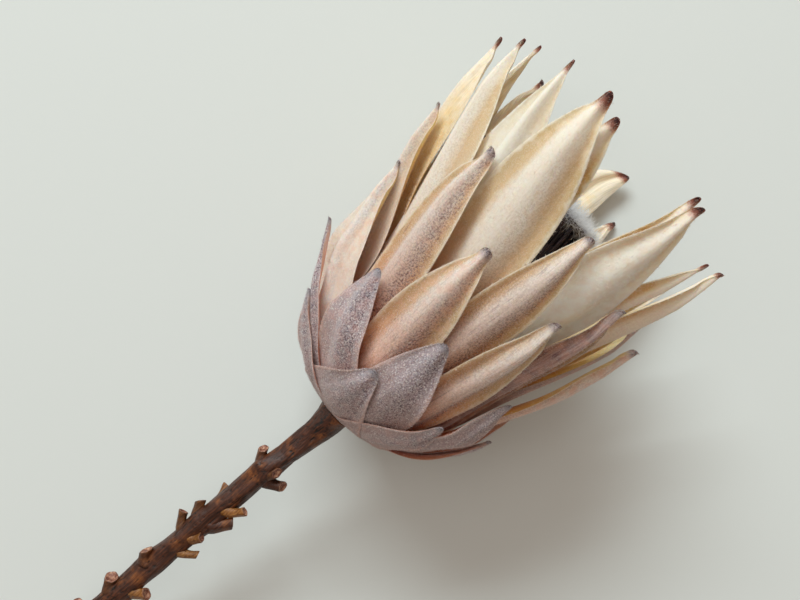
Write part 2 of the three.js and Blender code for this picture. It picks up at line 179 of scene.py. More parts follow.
dark, warm, gold, pith, worn, sunk = (
    add(tree, "ShaderNodeValToRGB", {0: share}, stops=stops) for share, stops in (
        (streak, [(0.3, "#261007"), (0.5, "#401e0e"), (0.7, "#643217")]),
        (streak, [(0.3, "#522610"), (0.5, "#75401c"), (0.72, "#9a602c")]),
        (streak, [(0.3, "#5f3815"), (0.5, "#945f2a"), (0.7, "#c08f4e")]),
        (fleck, [(0.35, "#5c3022"), (0.52, "#94604a"), (0.7, "#cda384")]),
        (patch, [(0.5, 0.0), (0.68, 1.0)]), (depth, [(0.25, 0.0), (0.8, 1.0)])))
paint = dark
# The cracks are painted near-black: painted shade in them
for colour, share in ((warm, worn), (gold, tone), (linear("#0d0806"), sunk), (pith, cut)):
    paint = add(tree, "ShaderNodeMix", {0: share, 6: paint, 7: colour}, data_type="RGBA")
relief = add(tree, "ShaderNodeBump", {"Height": streak, "Strength": 0.7, "Distance": 0.0004})
relief = add(tree, "ShaderNodeBump", {
    "Height": fleck, "Strength": 0.4, "Distance": 0.0002, "Normal": relief})
shine = add(tree, "ShaderNodeMapRange", {0: streak, 1: 0.3, 2: 0.7, 3: 0.28, 4: 0.6})
surface = add(tree, "ShaderNodeBsdfPrincipled", {
    "Base Color": paint, "Roughness": shine, "Normal": relief, "IOR": 1.5})
add(tree, "ShaderNodeOutputMaterial", {0: surface})

stations = np.linspace(STEM_LINE[0][0], STEM_LINE[-1][0], STEM_RINGS)
around = 2 * np.pi * np.arange(STEM_SIDES) / STEM_SIDES
s, a = np.meshgrid(stations, around, indexing="ij")
drift, radius, stretch = stem_middle(s)
swell = np.sin(3 * a + 2 * stretch) + np.sin(2 * a - stretch)
depth, spacing, long, opened = BARK_CRACKS
spots = np.stack((s / long, radius * np.cos(a), radius * np.sin(a)), axis=-1).reshape(-1, 3)
cracks = 1 - smooth(np.abs(rough(spots, spacing)).reshape(s.shape) / opened)
height, width, shorter = BARK_LUMPS
lumps = rough(spots * (shorter, 1, 1), width).reshape(s.shape)
radius = radius * (1 + STEM_UNEVEN * swell) + height * lumps - depth * cracks
shares = np.concatenate((np.ones(STEM_RINGS), CUT_RINGS))
ends = np.append(np.arange(STEM_RINGS), [STEM_RINGS - 1] * len(CUT_RINGS))
s, a, drift, radius, cracks = (x[ends] for x in (s, a, drift, radius, cracks))
radius = radius * shares[:, None]
spots = np.stack((radius * np.cos(a), radius * np.sin(a), s), axis=-1).reshape(-1, 3)
s = s - CUT_FRAY[0] * (shares[:, None] < 1) * rough(spots, CUT_FRAY[1]).reshape(s.shape)
stalk = on_head(s, drift - radius * np.sin(a), radius * np.cos(a))
is_cut = np.repeat(shares < 1, STEM_SIDES).astype(float)
stem = new_piece("stalk", stalk, close_rings(len(shares), STEM_SIDES, inwards=True), bark, {
    "depth": cracks.ravel() * (1 - is_cut), "cut": is_cut, "tone": np.zeros(is_cut.size)})
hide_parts("stem")

# Stumps of the leaf stalks. Each is a short woody peg that stands off the bark towards the
# head, with a rim round its pale, dished end where the stalk was cut.

STUMPS = [  # foot, azimuth, run, reach outwards, width, tone
    (-36, -88, 4.4, 5.9, 3.8, 0.1), (-36, 40, 3.1, 5.5, 4, 0.15), (-39, 88, 3.1, 8.7, 4.2, 0),
    (-57, 62, 6.2, 7.5, 3.2, 0.75), (-65, 84, 7, 7.3, 4.4, 0), (-66, -90, 4.8, 5.9, 3.8, 0.15),
    (-74, -88, 5.7, 7.1, 3.4, 0.2), (-72, 44, 3.5, 5.5, 3.6, 0.5), (-80, 78, 5.3, 8.3, 3, 0.7),
    (-90, -60, 3.1, 5.7, 4.8, 0.05), (-102, 68, 4, 7.3, 4.2, 0.65), (-108, -72, 4.4, 6.3, 4.6, 0.1),
    (-45, 168, 5.3, 6.5, 3.6, 0.3), (-58, 214, 5.3, 6.9, 3.6, 0.5), (-84, 158, 5.3, 6.7, 3.8, 0.1),
    (-97, 206, 5.3, 6.3, 3.6, 0.8), (-117, 130, 5.3, 6.9, 3.8, 0.4), (-119, 8, 5.3, 6.3, 3.8, 0.2),
    (-126, 262, 5.3, 6.7, 3.6, 0.6),
]
STUMP_SIDES = 18
STUMP_ROOT = 1.6  # how far from the stem's middle a stump starts
STUMP_BEND = 0.7  # how far it bows between its ends
STUMP_LOFT = [  # share of the run, share of the width
    (0, 1.6), (0.2, 1.45), (0.35, 1.25), (0.5, 1.08), (0.65, 0.98), (0.8, 0.97), (0.92, 1.02),
    (0.985, 1.0), (1.0, 0.9), (0.99, 0.76), (0.93, 0.62), (0.9, 0.3), (0.9, 0.03),
]
FIRST_CUT_RING = 8
STUMP_SLANT = (0.45, 1.7)  # slope of the cut, and its turn from one stump to the next
STUMP_UNEVEN = ((0.07, 2, 1), (0.05, 5, 2))  # share of the width, lumps round it, shift


def peg(foot, end, width, number):
    """Points of one stump, ring by ring, in millimetres by the head's axis."""
    run = end - foot
    length = np.linalg.norm(run)
    run = run / length
    side = np.cross(run, (1.0, 0.3, 0.2))  # any way that isn't along the run
    side /= np.linalg.norm(side)
    over = np.cross(run, side)
    turn = 2 * np.pi * np.arange(STUMP_SIDES) / STUMP_SIDES
    slope, turned_on = STUMP_SLANT
    rings = []
    for share, spread in STUMP_LOFT:
        uneven = 1 + sum(high * np.sin(lumps * turn + shift * number) for high, lumps, shift in STUMP_UNEVEN)
        middle = foot + run * length * share + over * STUMP_BEND * math.sin(math.pi * share)
        rim = (width / 2 * spread * uneven)[:, None]
        slant = slope * share ** 4 * rim * np.cos(turn + turned_on * number)[:, None]
        round_it = np.cos(turn)[:, None] * side + np.sin(turn)[:, None] * over
        rings.append(middle + rim * round_it + slant * run)
    return np.concatenate(rings)


points, faces, cut_marks, tone_marks = [], [], [], []
for number, (foot, azimuth, run, reach, width, stump_tone) in enumerate(STUMPS):
    drift = float(stem_middle(foot)[0])
    outward = np.array((0, -math.sin(math.radians(azimuth)), math.cos(math.radians(azimuth))))
    root = np.array((foot, drift, 0)) + outward * STUMP_ROOT
    end = np.array((foot + run, drift, 0)) + outward * reach
    rings = peg(root, end, width, number)
    first = sum(len(p) for p in points)
    faces += [tuple(first + k for k in face) for face in close_rings(len(STUMP_LOFT), STUMP_SIDES)]
    points.append(rings)
    cut_marks.append(np.repeat([k >= FIRST_CUT_RING for k in range(len(STUMP_LOFT))], STUMP_SIDES))
    tone_marks.append(np.full(len(rings), stump_tone))
points = np.concatenate(points)
stumps = new_piece("leaf_stalk_stumps", on_head(*points.T), faces, bark, {
    "depth": np.zeros(len(points)), "cut": np.concatenate(cut_marks).astype(float),
    "tone": np.concatenate(tone_marks)})
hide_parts("stem")

# The receptacle. A short woody disc in the bottom of the head that the stem widens into,
# and that all bracts and florets grow from. Only its rim shows, where the stem meets it.

RECEPTACLE = [  # station and radius of each ring
    (-4.1, 6.2), (-3.3, 9.5), (-2.4, 11.4), (-0.6, 13), (0.6, 16), (2.2, 18.4), (6.5, 20.4), (9.8, 21.2),
    (12, 20.2), (16.5, 19.6),
]
RECEPTACLE_SIDES = 72
RECEPTACLE_UNEVEN = 0.05  # share of the radius


def turned(profile, sides, uneven=0.03):
    """Points of a body turned about the head's axis from stations and radii, with lumps of 5 mm."""
    angle = 2 * np.pi * np.arange(sides) / sides
    rings = [(s, -r * np.sin(angle), r * np.cos(angle)) for s, r in profile]
    points = np.concatenate([np.stack(np.broadcast_arrays(*ring), axis=-1) for ring in rings])
    swell = 1 + uneven * rough(points, 5.0)[:, None]
    return points * np.concatenate((np.ones_like(swell), swell, swell), axis=1)


# Felted wood: a matt, mottled grey-brown, like the feet of the bracts that it shows between.
# The mottles are 2 mm wide.
disc, tree = new_material("woody_receptacle")
spot = add(tree, "ShaderNodeTexCoord").outputs["Object"]
mottle = add(tree, "ShaderNodeTexNoise", {"Vector": spot, "Scale": 450.0, "Detail": 4.0})
paint = add(tree, "ShaderNodeValToRGB", {0: mottle}, stops=[(0.3, "#685250"), (0.7, "#948380")])
relief = add(tree, "ShaderNodeBump", {"Height": mottle, "Strength": 0.6, "Distance": 0.0003})
surface = add(tree, "ShaderNodeBsdfPrincipled", {"Base Color": paint, "Roughness": 0.9, "Normal": relief})
add(tree, "ShaderNodeOutputMaterial", {0: surface})

receptacle = new_piece("receptacle", on_head(*turned(RECEPTACLE, RECEPTACLE_SIDES, RECEPTACLE_UNEVEN).T),
                       close_rings(len(RECEPTACLE), RECEPTACLE_SIDES), disc, {})
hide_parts("outer_bracts", "middle_bracts", "inner_bracts")

# The floret cone. Several hundred slender, dark purple-brown florets stand packed on the
# receptacle in a golden-angle spiral. They splay at the foot and draw together at the tips.

FLORETS = 420
FLORET_ENDS = ((40.0, 21.5, 0), (100.5, 18.2, 4.0))  # station, reach, how much lower the outermost
FLORET_WIDTH = 1.9
FLORET_SIZES = ((0.75, 1.3), (0.93, 1.03))  # shares of the width and of the length, from and to
FLORET_BEND = (110.0, 4.0)  # waves to the metre, and how far they go in millimetres
GOLDEN_ANGLE = math.pi * (3 - math.sqrt(5))
CORE = [(16.8, 17), (32, 20.5), (62, 21.5), (88, 17.5), (90, 6)]  # station and radius of each ring
CORE_SIDES = 60
FLORET_SHAPE = {"Vertices": 6, "Side Segments": 7, "Radius Top": 0.22, "Radius Bottom": 0.5, "Depth": 1.0}


def geometry_tree(name, sizes):
    """An empty geometry tree with a mesh going in and out, and its sizes as named inputs."""
    tree = bpy.data.node_groups.new(name, "GeometryNodeTree")
    tree.interface.new_socket("Geometry", in_out="INPUT", socket_type="NodeSocketGeometry")
    tree.interface.new_socket("Geometry", in_out="OUTPUT", socket_type="NodeSocketGeometry")
    for size, kind in sizes.items():
        tree.interface.new_socket(size, in_out="INPUT", socket_type="NodeSocket" + kind)
    return tree, add(tree, "NodeGroupInput").outputs


def grown(tree, source, sizes):
    """What a tree makes of a mesh object, as a plain mesh."""
    live = source.modifiers.new(tree.name, "NODES")
    live.node_group = tree
    for socket in tree.interface.items_tree:
        if socket.item_type == "SOCKET" and socket.in_out == "INPUT" and socket.name in sizes:
            live[socket.identifier] = sizes[socket.name]
    graph = bpy.context.evaluated_depsgraph_get()
    made = bpy.data.meshes.new_from_object(source.evaluated_get(graph),
                                           preserve_all_data_layers=True, depsgraph=graph)
    source.modifiers.remove(live)
    return made


# Dry floret tubes: thin plant tissue, almost black, with a purple cast and a soft silky
# sheen from the down on it. Its streaks are 0.4 mm wide and 4.5 mm long.
down, tree = new_material("dark_floret_down")
spot = add(tree, "ShaderNodeTexCoord").outputs["Object"]
grain = add(tree, "ShaderNodeMapping", {"Vector": spot, "Scale": (220, 2400, 2400)})
streak = add(tree, "ShaderNodeTexNoise", {"Vector": grain, "Scale": 1.0, "Detail": 3.0})
paint = add(tree, "ShaderNodeValToRGB", {0: streak},
            stops=[(0.32, "#120c10"), (0.55, "#2c2026"), (0.75, "#57454c")])
relief = add(tree, "ShaderNodeBump", {"Height": streak, "Strength": 0.5, "Distance": 0.0003})
surface = add(tree, "ShaderNodeBsdfPrincipled", {
    "Base Color": paint, "Roughness": 0.7, "Normal": relief,
    "Sheen Weight": 0.5, "Sheen Roughness": 0.4, "Sheen Tint": linear("#b9aeb8")})
add(tree, "ShaderNodeOutputMaterial", {0: surface})

core = new_piece("floret_core", on_head(*turned(CORE, CORE_SIDES).T), close_rings(len(CORE), CORE_SIDES),
                 down, {})
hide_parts("floret_cone")

# Tree: the spiral of florets over the core, each a tapered tube from its foot to its tip
tree, given = geometry_tree("packed_florets", {
    "Florets": "Int", "Width": "Float", "Seed": "Int", "Finish": "Material"})
number = add(tree, "GeometryNodeInputIndex")
share = add(tree, "ShaderNodeMath", {0: number, 1: given["Florets"]}, operation="DIVIDE")
spread = add(tree, "ShaderNodeMath", {0: share}, operation="SQRT")
turn = add(tree, "ShaderNodeMath", {0: number, 1: GOLDEN_ANGLE}, operation="MULTIPLY")
sine = add(tree, "ShaderNodeMath", {0: turn}, operation="SINE")
cosine = add(tree, "ShaderNodeMath", {0: turn}, operation="COSINE")
ends = []
for station, reach, drop in FLORET_ENDS:
    out = add(tree, "ShaderNodeMath", {0: spread, 1: reach * MM}, operation="MULTIPLY")
    across = add(tree, "ShaderNodeMath", {0: sine, 1: out}, operation="MULTIPLY")
    up = add(tree, "ShaderNodeMath", {0: cosine, 1: out}, operation="MULTIPLY")
    along = add(tree, "ShaderNodeMath", {0: share, 1: -drop * MM, 2: station * MM},
                operation="MULTIPLY_ADD")
    flat = add(tree, "ShaderNodeCombineXYZ", {0: along, 1: across, 2: up})
    risen = add(tree, "ShaderNodeVectorRotate", {"Vector": flat, "Angle": -AXIS_RISE},
                rotation_type="Y_AXIS")
    ends.append(add(tree, "ShaderNodeVectorMath", {0: risen, 1: [c * MM for c in HEAD_BASE]},
                    operation="ADD"))
line = add(tree, "ShaderNodeVectorMath", {0: ends[1], 1: ends[0]}, operation="SUBTRACT")
length = add(tree, "ShaderNodeVectorMath", {0: line}, operation="LENGTH").outputs["Value"]
points = add(tree, "GeometryNodePoints", {"Count": given["Florets"], "Position": ends[0]})
facing = add(tree, "FunctionNodeAlignRotationToVector", {"Vector": line}, axis="Z")
thicker, taller = (add(tree, "FunctionNodeRandomValue", {2: least, 3: most, "Seed": given["Seed"]})
                   for least, most in FLORET_SIZES)
tall = add(tree, "ShaderNodeMath", {0: length, 1: taller}, operation="MULTIPLY")
girth = add(tree, "ShaderNodeMath", {0: given["Width"], 1: thicker}, operation="MULTIPLY")
size = add(tree, "ShaderNodeCombineXYZ", {0: girth, 1: girth, 2: tall})
tube = add(tree, "GeometryNodeMeshCone", FLORET_SHAPE)
packed = add(tree, "GeometryNodeInstanceOnPoints", {
    "Points": points, "Instance": tube, "Rotation": facing, "Scale": size})
real = add(tree, "GeometryNodeRealizeInstances", {0: packed})
place = add(tree, "GeometryNodeInputPosition")
bend = add(tree, "ShaderNodeTexNoise", {
    "Vector": place, "Scale": FLORET_BEND[0], "Detail": 1.0}).outputs["Color"]
bend = add(tree, "ShaderNodeVectorMath", {0: bend, 1: (0.5, 0.5, 0.5)}, operation="SUBTRACT")
bend = add(tree, "ShaderNodeVectorMath", {0: bend, "Scale": FLORET_BEND[1] * MM}, operation="SCALE")
bent = add(tree, "GeometryNodeSetPosition", {"Geometry": real, "Offset": bend})
done = add(tree, "GeometryNodeSetMaterial", {"Geometry": bent, "Material": given["Finish"]})
add(tree, "NodeGroupOutput", {0: done})

florets = placed("florets", grown(tree, core, {
    "Florets": FLORETS, "Width": FLORET_WIDTH * MM, "Seed": 4, "Finish": down}))
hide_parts("floret_cone")

# The wool. Every floret ends in a brush of fine, silky white hairs, and together they make
# a soft, bluish white cap in the mouth. The dark tips of the florets show between its roots.

WOOL_RADIUS = 17.0
WOOL_FOOT = 101.5  # station of the cap's middle
WOOL_DROP = 3.0  # how much lower its rim is
WOOL_RINGS = [(0.02, 0.0), (0.35, 0.35), (0.7, 0.7), (0.92, 0.92), (1.0, 1.0)]  # reach, drop
WOOL_SIDES = 60
WOOL_BED = (1.4, 0.5, 0.96)  # under and over the florets' tips, and the underside's share of the radius
WOOL_LEAN = (0.25, 0, 0.03)  # towards the mouth and upwards, besides outwards
WOOL_HAIRS = 8.0  # on each square millimetre of the bed
WOOL_CLUMPS = (0.6, 2.2, 3.0)  # mean density, how much it varies, width of a clump

# Tree: hairs that stand off a mesh, each a thin tapered cone. The mesh says by its "fuzz"
# how densely they stand, and by its "grain" which way they lean. None goes under the surface.
tree, given = geometry_tree("standing_hairs", {
    "Hairs": "Float", "Length": "Float", "Longest": "Float", "Width": "Float", "Tip": "Float",
    "Segments": "Int", "Sunk": "Float", "Lean": "Float", "Scatter": "Float", "Curl": "Float",
    "Curls": "Float", "Seed": "Int", "Finish": "Material"})
fuzz = add(tree, "GeometryNodeInputNamedAttribute", {"Name": "fuzz"}, data_type="FLOAT")
dense = add(tree, "ShaderNodeMath", {0: fuzz, 1: given["Hairs"]}, operation="MULTIPLY")
roots = add(tree, "GeometryNodeDistributePointsOnFaces", {
    "Mesh": given["Geometry"], "Density": dense, "Seed": given["Seed"]}, distribute_method="RANDOM")
grain = add(tree, "GeometryNodeInputNamedAttribute", {"Name": "grain"}, data_type="FLOAT_VECTOR")
lean = add(tree, "ShaderNodeVectorMath", {0: grain, "Scale": given["Lean"]}, operation="SCALE")
stray = add(tree, "FunctionNodeRandomValue", {0: (-1, -1, -1), 1: (1, 1, 1), "Seed": given["Seed"]},
            data_type="FLOAT_VECTOR")
stray = add(tree, "ShaderNodeVectorMath", {0: stray, "Scale": given["Scatter"]}, operation="SCALE")
way = add(tree, "ShaderNodeVectorMath", {0: lean, 1: roots.outputs["Normal"]}, operation="ADD")
way = add(tree, "ShaderNodeVectorMath", {0: way, 1: stray}, operation="ADD")
facing = add(tree, "FunctionNodeAlignRotationToVector", {"Vector": way}, axis="Z")
longer = add(tree, "FunctionNodeRandomValue", {2: 0.5, 3: given["Longest"], "Seed": given["Seed"]})
half = add(tree, "ShaderNodeMath", {0: given["Width"], 1: 2.0}, operation="DIVIDE")
tip = add(tree, "ShaderNodeMath", {0: half, 1: given["Tip"]}, operation="MULTIPLY")
hair = add(tree, "GeometryNodeMeshCone", {
    "Vertices": 3, "Side Segments": given["Segments"], "Radius Top": tip, "Radius Bottom": half,
    "Depth": given["Length"]})
height = add(tree, "ShaderNodeSeparateXYZ", {0: add(tree, "GeometryNodeInputPosition")}).outputs["Z"]
height = add(tree, "ShaderNodeMath", {0: height, 1: given["Length"]}, operation="DIVIDE")
hair = add(tree, "GeometryNodeStoreNamedAttribute", {
    "Geometry": hair, "Name": "reach", "Value": height}, data_type="FLOAT", domain="POINT")
sunk = add(tree, "ShaderNodeMath", {0: given["Sunk"], 1: -1.0}, operation="MULTIPLY")
sunk = add(tree, "ShaderNodeCombineXYZ", {2: sunk})
hair = add(tree, "GeometryNodeTransform", {"Geometry": hair, "Translation": sunk})
brush = add(tree, "GeometryNodeInstanceOnPoints", {
    "Points": roots, "Instance": hair, "Rotation": facing, "Scale": longer})
real = add(tree, "GeometryNodeRealizeInstances", {0: brush})
place = add(tree, "GeometryNodeInputPosition")
curl = add(tree, "ShaderNodeTexNoise", {
    "Vector": place, "Scale": given["Curls"], "Detail": 2.0}).outputs["Color"]
curl = add(tree, "ShaderNodeVectorMath", {0: curl, 1: (0.5, 0.5, 0.5)}, operation="SUBTRACT")
reach = add(tree, "GeometryNodeInputNamedAttribute", {"Name": "reach"}, data_type="FLOAT")
swing = add(tree, "ShaderNodeMath", {0: reach, 1: given["Curl"]}, operation="MULTIPLY")
curl = add(tree, "ShaderNodeVectorMath", {0: curl, "Scale": swing}, operation="SCALE")
ends = add(tree, "ShaderNodeVectorMath", {0: place, 1: curl}, operation="ADD")
above = add(tree, "ShaderNodeVectorMath", {0: ends, 1: (-10, -10, 0)}, operation="MAXIMUM")
curled = add(tree, "GeometryNodeSetPosition", {"Geometry": real, "Position": above})
done = add(tree, "GeometryNodeSetMaterial", {"Geometry": curled, "Material": given["Finish"]})
add(tree, "NodeGroupOutput", {0: done})
standing_hairs = tree

# Silk: fine clear hairs that scatter the light, so they read as white with a cold cast. They are greyer
# towards their roots: painted shade deep in the wool
silk, tree = new_material("silky_white_wool")
reach = add(tree, "ShaderNodeAttribute", attribute_name="reach").outputs["Fac"]
paint = add(tree, "ShaderNodeValToRGB", {0: reach},
            stops=[(0.0, "#b9bdc7"), (0.3, "#e6e9f1"), (1.0, "#fbfcff")])
surface = add(tree, "ShaderNodeBsdfPrincipled", {
    "Base Color": paint, "Roughness": 0.55, "Sheen Weight": 0.3, "Sheen Roughness": 0.5,
    "Subsurface Weight": 1.0, "Subsurface Radius": (1.0, 1.0, 1.0), "Subsurface Scale": 0.003})
add(tree, "ShaderNodeOutputMaterial", {0: surface})

under, over, narrower = WOOL_BED
rings = [(WOOL_FOOT - WOOL_DROP * drop * drop, WOOL_RADIUS * reach) for reach, drop in WOOL_RINGS]
profile = [(s - under, r * narrower) for s, r in rings] + [(s + over, r) for s, r in rings[::-1]]
points = turned(profile, WOOL_SIDES)
mean, varied, size = WOOL_CLUMPS
clumps = np.clip(mean + varied * rough(points, size), 0.1, 1)
bed = new_piece("wool_bed", on_head(*points.T), close_rings(len(profile), WOOL_SIDES), down, {
    "fuzz": clumps, "grain": points * (0, 1, 1) / WOOL_RADIUS + WOOL_LEAN})
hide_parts("floret_wool")
wool = placed("wool", grown(standing_hairs, bed, {
    "Hairs": WOOL_HAIRS * 1e6, "Length": 5.5 * MM, "Longest": 1.3, "Width": 0.16 * MM, "Tip": 0.25,
    "Segments": 3, "Sunk": 0.0, "Lean": 0.5, "Scatter": 1.0, "Curl": 7.0 * MM, "Curls": 1 / (3.5 * MM),
    "Seed": 7, "Finish": silk}))
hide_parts("floret_wool")

# The throat bracts. The innermost ring of long bracts, of leathery dry leaf tissue that is
# felted outside and smooth golden inside. Each grows from the receptacle by a broad foot.

BOWL_RADIUS = 40.6  # the closed head's outline, in millimetres: a bowl up to a station
BOWL_TOP = 27
BOWL_DEPTH = 31
BOWL_FULLNESS = 1.6
MOUTH_RADIUS = 53
MOUTH_STATION = 125
BRACT_ROWS = 66  # points along each bract
BRACT_COLUMNS = 25  # points across it
ROW_CROWDING = 1.5  # rows stand closer towards the tip
COLUMN_TURN = math.pi / 2 * 0.92  # columns stand closer towards the margins
PATH_STEPS = 240
PATH_CROWDING = 1.5
FINGER_ROLL = (3.0, 10.0, 3.0)  # rolled from, done by (millimetres), radius across
FINGER_PLUMP = (3.0, 9.0)  # full from, thin by (millimetres from the tip)
HOOK_REACH = 14  # millimetres of the tip that bend sideways
RIB_HEIGHT = 1.35  # against the solid's rib
RIB_LIMIT = 0.46  # of half the width of the blade, away from the tip
RIB_LEAST = 1.5  # half its width near the tip, in millimetres
RIB_STEEP = 2.6
RIDGE_FULL = 0.35  # share of the length where the rib is full, then fades
RIDGE_FADES = 0.85
RIDGE_LEFT = 0.4
MARGIN_HEIGHT = 0.42
MARGIN_RISES = 0.66  # share of half the width
MARGIN_THICKNESS = 0.3  # millimetres at the edge
MARGIN_WAVE = 0.7  # how far the margins wave up and down
WAVE_TURNS = (11, 9)  # on the right margin and on the left
PLEATS = (0.14, 7.5, 3), (0.1, 16, 2)  # height, turns across, how they drift along
CALM = (0.35, 0.8)  # the waves are full between these shares of the length
BLADE_THINNING = 0.72  # share of the solid's thickness
BLADE_ROUND = (14, 60, 1.6)  # how square its sides, its end and its section are
FUZZ = (0.12, 0.55, 0.45, 2.5, 0.93)  # inside, outside, more at the margin, at the rim, from
PRESSED = 0.15  # how softly a bract flattens on the surface
LEAST = (0.02, 0.05)  # share of the width, and thickness in millimetres
TWIST_DONE = 0.5  # share of the length
WEFT_SHIFT = (40, 7)  # so that no two bracts have the same streaks
FELT_STARTS = 8  # millimetres over which the hairs begin
GOLDEN_FROM = (-0.1, 0.4)  # place across it, and how wide the change is


def outline_radius(station):
    """Radius of the closed head: a bowl, then a wall that opens a little to the mouth."""
    depth = np.clip((BOWL_TOP - station) / BOWL_DEPTH, 0, 1)
    bowl = BOWL_RADIUS * np.sqrt(np.maximum(1 - depth ** BOWL_FULLNESS, 0))
    wall = BOWL_RADIUS + (MOUTH_RADIUS - BOWL_RADIUS) * (station - BOWL_TOP) / (MOUTH_STATION - BOWL_TOP)
    return np.where(station < BOWL_TOP, bowl, wall)


def middle_line(looks):
    """Station, radius and distance along the middle of a bract."""
    share = (np.arange(PATH_STEPS + 1) / PATH_STEPS) ** PATH_CROWDING
    s = looks["root"] + (looks["tip"] - looks["root"]) * share

    def free(x):
        way = (x - looks["from"]) / (looks["clear"] - looks["from"])
        return outline_radius(x) - looks["cover"] * (1 - smooth(way))

    end = free(np.array(float(looks["tip"])))
    r = free(s) + (looks.get("rim", end) - end) * share ** looks["bend"]
    length = np.append(0, np.cumsum(np.hypot(np.diff(s), np.diff(r))))
    return s, r, length


def width_share(looks, u):
    """Share of the greatest width at a share of the length."""
    blunt, broad, foot = looks["blunt"], looks["broad"], looks["foot"]
    x = np.clip((u - broad) / (1 - broad), 0, 1)
    blade = (1 - x ** looks["taper"]) ** looks["fade"]
    end = np.sqrt(np.maximum(1 - x ** looks["round"], 0))
    foot = foot + (1 - foot) * np.sin(np.pi / 2 * np.minimum(u / broad, 1))
    return np.maximum(np.where(u < broad, foot, (1 - blunt) * blade + blunt * end), LEAST[0])


def bract_blade(looks, number, rng):
    """Points and marks of one bract: first the outer face, then the inner."""
    u = 1 - (1 - np.linspace(0, 1, BRACT_ROWS)) ** ROW_CROWDING
    v = np.sin(np.linspace(-1, 1, BRACT_COLUMNS) * COLUMN_TURN) / np.sin(COLUMN_TURN)
    s_line, r_line, length = middle_line(looks)
    reach = u * length[-1]
    s = np.interp(reach, length, s_line)[:, None]
    r = np.interp(reach, length, r_line)[:, None]
    ds = np.gradient(s[:, 0], reach)[:, None]
    dr = np.gradient(r[:, 0], reach)[:, None]
    size = np.hypot(ds, dr)
    ds, dr = ds / size, dr / size
    u, v = np.meshgrid(u, v, indexing="ij")
    from_tip = (1 - u) * length[-1]
    # The way it bends, rolls up and narrows towards the tip
    hook = looks["hook"] / r * np.clip(1 - from_tip / HOOK_REACH, 0, 1) ** 2
    azimuth = np.radians(looks["at"] + looks["lean"] * smooth(u)) + hook
    rolled = smooth((u - looks["roll"]) / (1 - looks["roll"]))
    finger = looks["finger"] * (1 - smooth((from_tip - FINGER_ROLL[0]) / (FINGER_ROLL[1] - FINGER_ROLL[0])))
    across = 1 / ((1 - rolled) / r + rolled / looks["curl"] + finger / FINGER_ROLL[2])
    half = looks["width"] / 2 * width_share(looks, u)
    angle = v * half / across
    # Its relief: the rib, the raised wavy margins and the shallow pleats between them
    fade = np.clip(1 - (1 - RIDGE_LEFT) * (u - RIDGE_FADES) / (1 - RIDGE_FADES), RIDGE_LEFT, 1)
    ridge = looks["ridge"] * smooth(u / RIDGE_FULL) * fade
    phase = rng.uniform(0, 2 * np.pi, 6)
    rib_half = looks["blunt"] * looks["width"] / 2 * (1 + looks["widens"] * from_tip)
    rib_half = np.minimum(rib_half, np.maximum(RIB_LIMIT * half, RIB_LEAST))
    off_rib = np.abs(v) * half / rib_half
    margin = MARGIN_HEIGHT * smooth((np.abs(v) - MARGIN_RISES) / (1 - MARGIN_RISES))
    relief = RIB_HEIGHT * ridge * (np.exp(-off_rib ** RIB_STEEP) + margin)
    calm = smooth(u / CALM[0]) * (1 - smooth((u - CALM[1]) / (1 - CALM[1])))
    right, left = WAVE_TURNS
    wave = np.where(v > 0, np.sin(right * u + phase[0]), np.sin(left * u + phase[1]))
    relief = relief + MARGIN_WAVE * calm * np.abs(v) ** 3 * wave
    (wide, turns, drift), (narrow, more, sway) = PLEATS
    relief = relief + wide * calm * np.sin(turns * v + drift * u + phase[2]) * (1 - v * v)
    relief = relief + narrow * calm * np.sin(more * v + sway * np.sin(4 * u + phase[3])) * (1 - v * v)
    # Its thickness, which runs out at the margins and is greatest in the finger
    sides, end, section = BLADE_ROUND
    edge = np.sqrt(np.maximum(1 - np.abs(v) ** sides, 0)) * np.sqrt(np.maximum(1 - u ** end, 0))
    middle = looks["thick"] * BLADE_THINNING
    thick = (MARGIN_THICKNESS + (middle - MARGIN_THICKNESS) * (1 - np.abs(v) ** section)) * edge
    plump = 1 - smooth((from_tip - FINGER_PLUMP[0]) / (FINGER_PLUMP[1] - FINGER_PLUMP[0]))
    thick = np.maximum(thick * (1 + looks["finger"] * looks["plump"] * plump), LEAST[1])
    drop = across * (1 - np.cos(angle))
    aside = across * np.sin(angle)
    facing = azimuth + math.radians(looks["twist"]) * smooth(u / TWIST_DONE)
    faces = []
    for up, out in ((relief, aside), (relief - thick * np.cos(angle), aside - thick * np.sin(angle))):
        away = ds * up - drop
        y = -r * np.sin(azimuth) - away * np.sin(facing) - out * np.cos(facing)
        z = r * np.cos(azimuth) + away * np.cos(facing) - out * np.sin(facing)
        faces.append(on_head(s - dr * up, y, z))
    points = np.stack(faces)
    height = points[..., 2] / MM
    points[..., 2] = (height + np.sqrt(height ** 2 + PRESSED ** 2)) / 2 * MM
    # What the felt and its hairs read
    grain = np.gradient(points, axis=1)
    grain /= np.maximum(np.linalg.norm(grain, axis=-1, keepdims=True), 1e-9)
    both = np.ones(points.shape[:3])
    inside = both * np.array((0, 1))[:, None, None]
    shade = rng.uniform(0, 1)
    hidden, shown, fringe, rim, rim_from = FUZZ
    fuzz = np.where(inside > 0, hidden, shown + fringe * np.abs(v) ** 3)
    fuzz = fuzz * smooth((s - looks["shown"]) / FELT_STARTS)
    ahead, apart = (shift * number for shift in WEFT_SHIFT)
    golden_half_from, golden_half_over = GOLDEN_FROM
    return points, {
        "where": np.stack((both * u, both * v, both * from_tip), axis=-1),
        "trait": np.stack((inside, both * shade, both * looks["dark"]), axis=-1),
        "weft": np.stack((both * v * half, both * u * length[-1] + ahead, both * apart), axis=-1),
        "grain": grain, "fuzz": fuzz * (1 + rim * (np.abs(v) > rim_from)),
        "off_rib": both * np.minimum(off_rib, 4), "tone_and_painted_light": both * looks["tone_and_painted_light"],
        "golden": both * looks["golden"] * smooth((v - golden_half_from) / golden_half_over)}


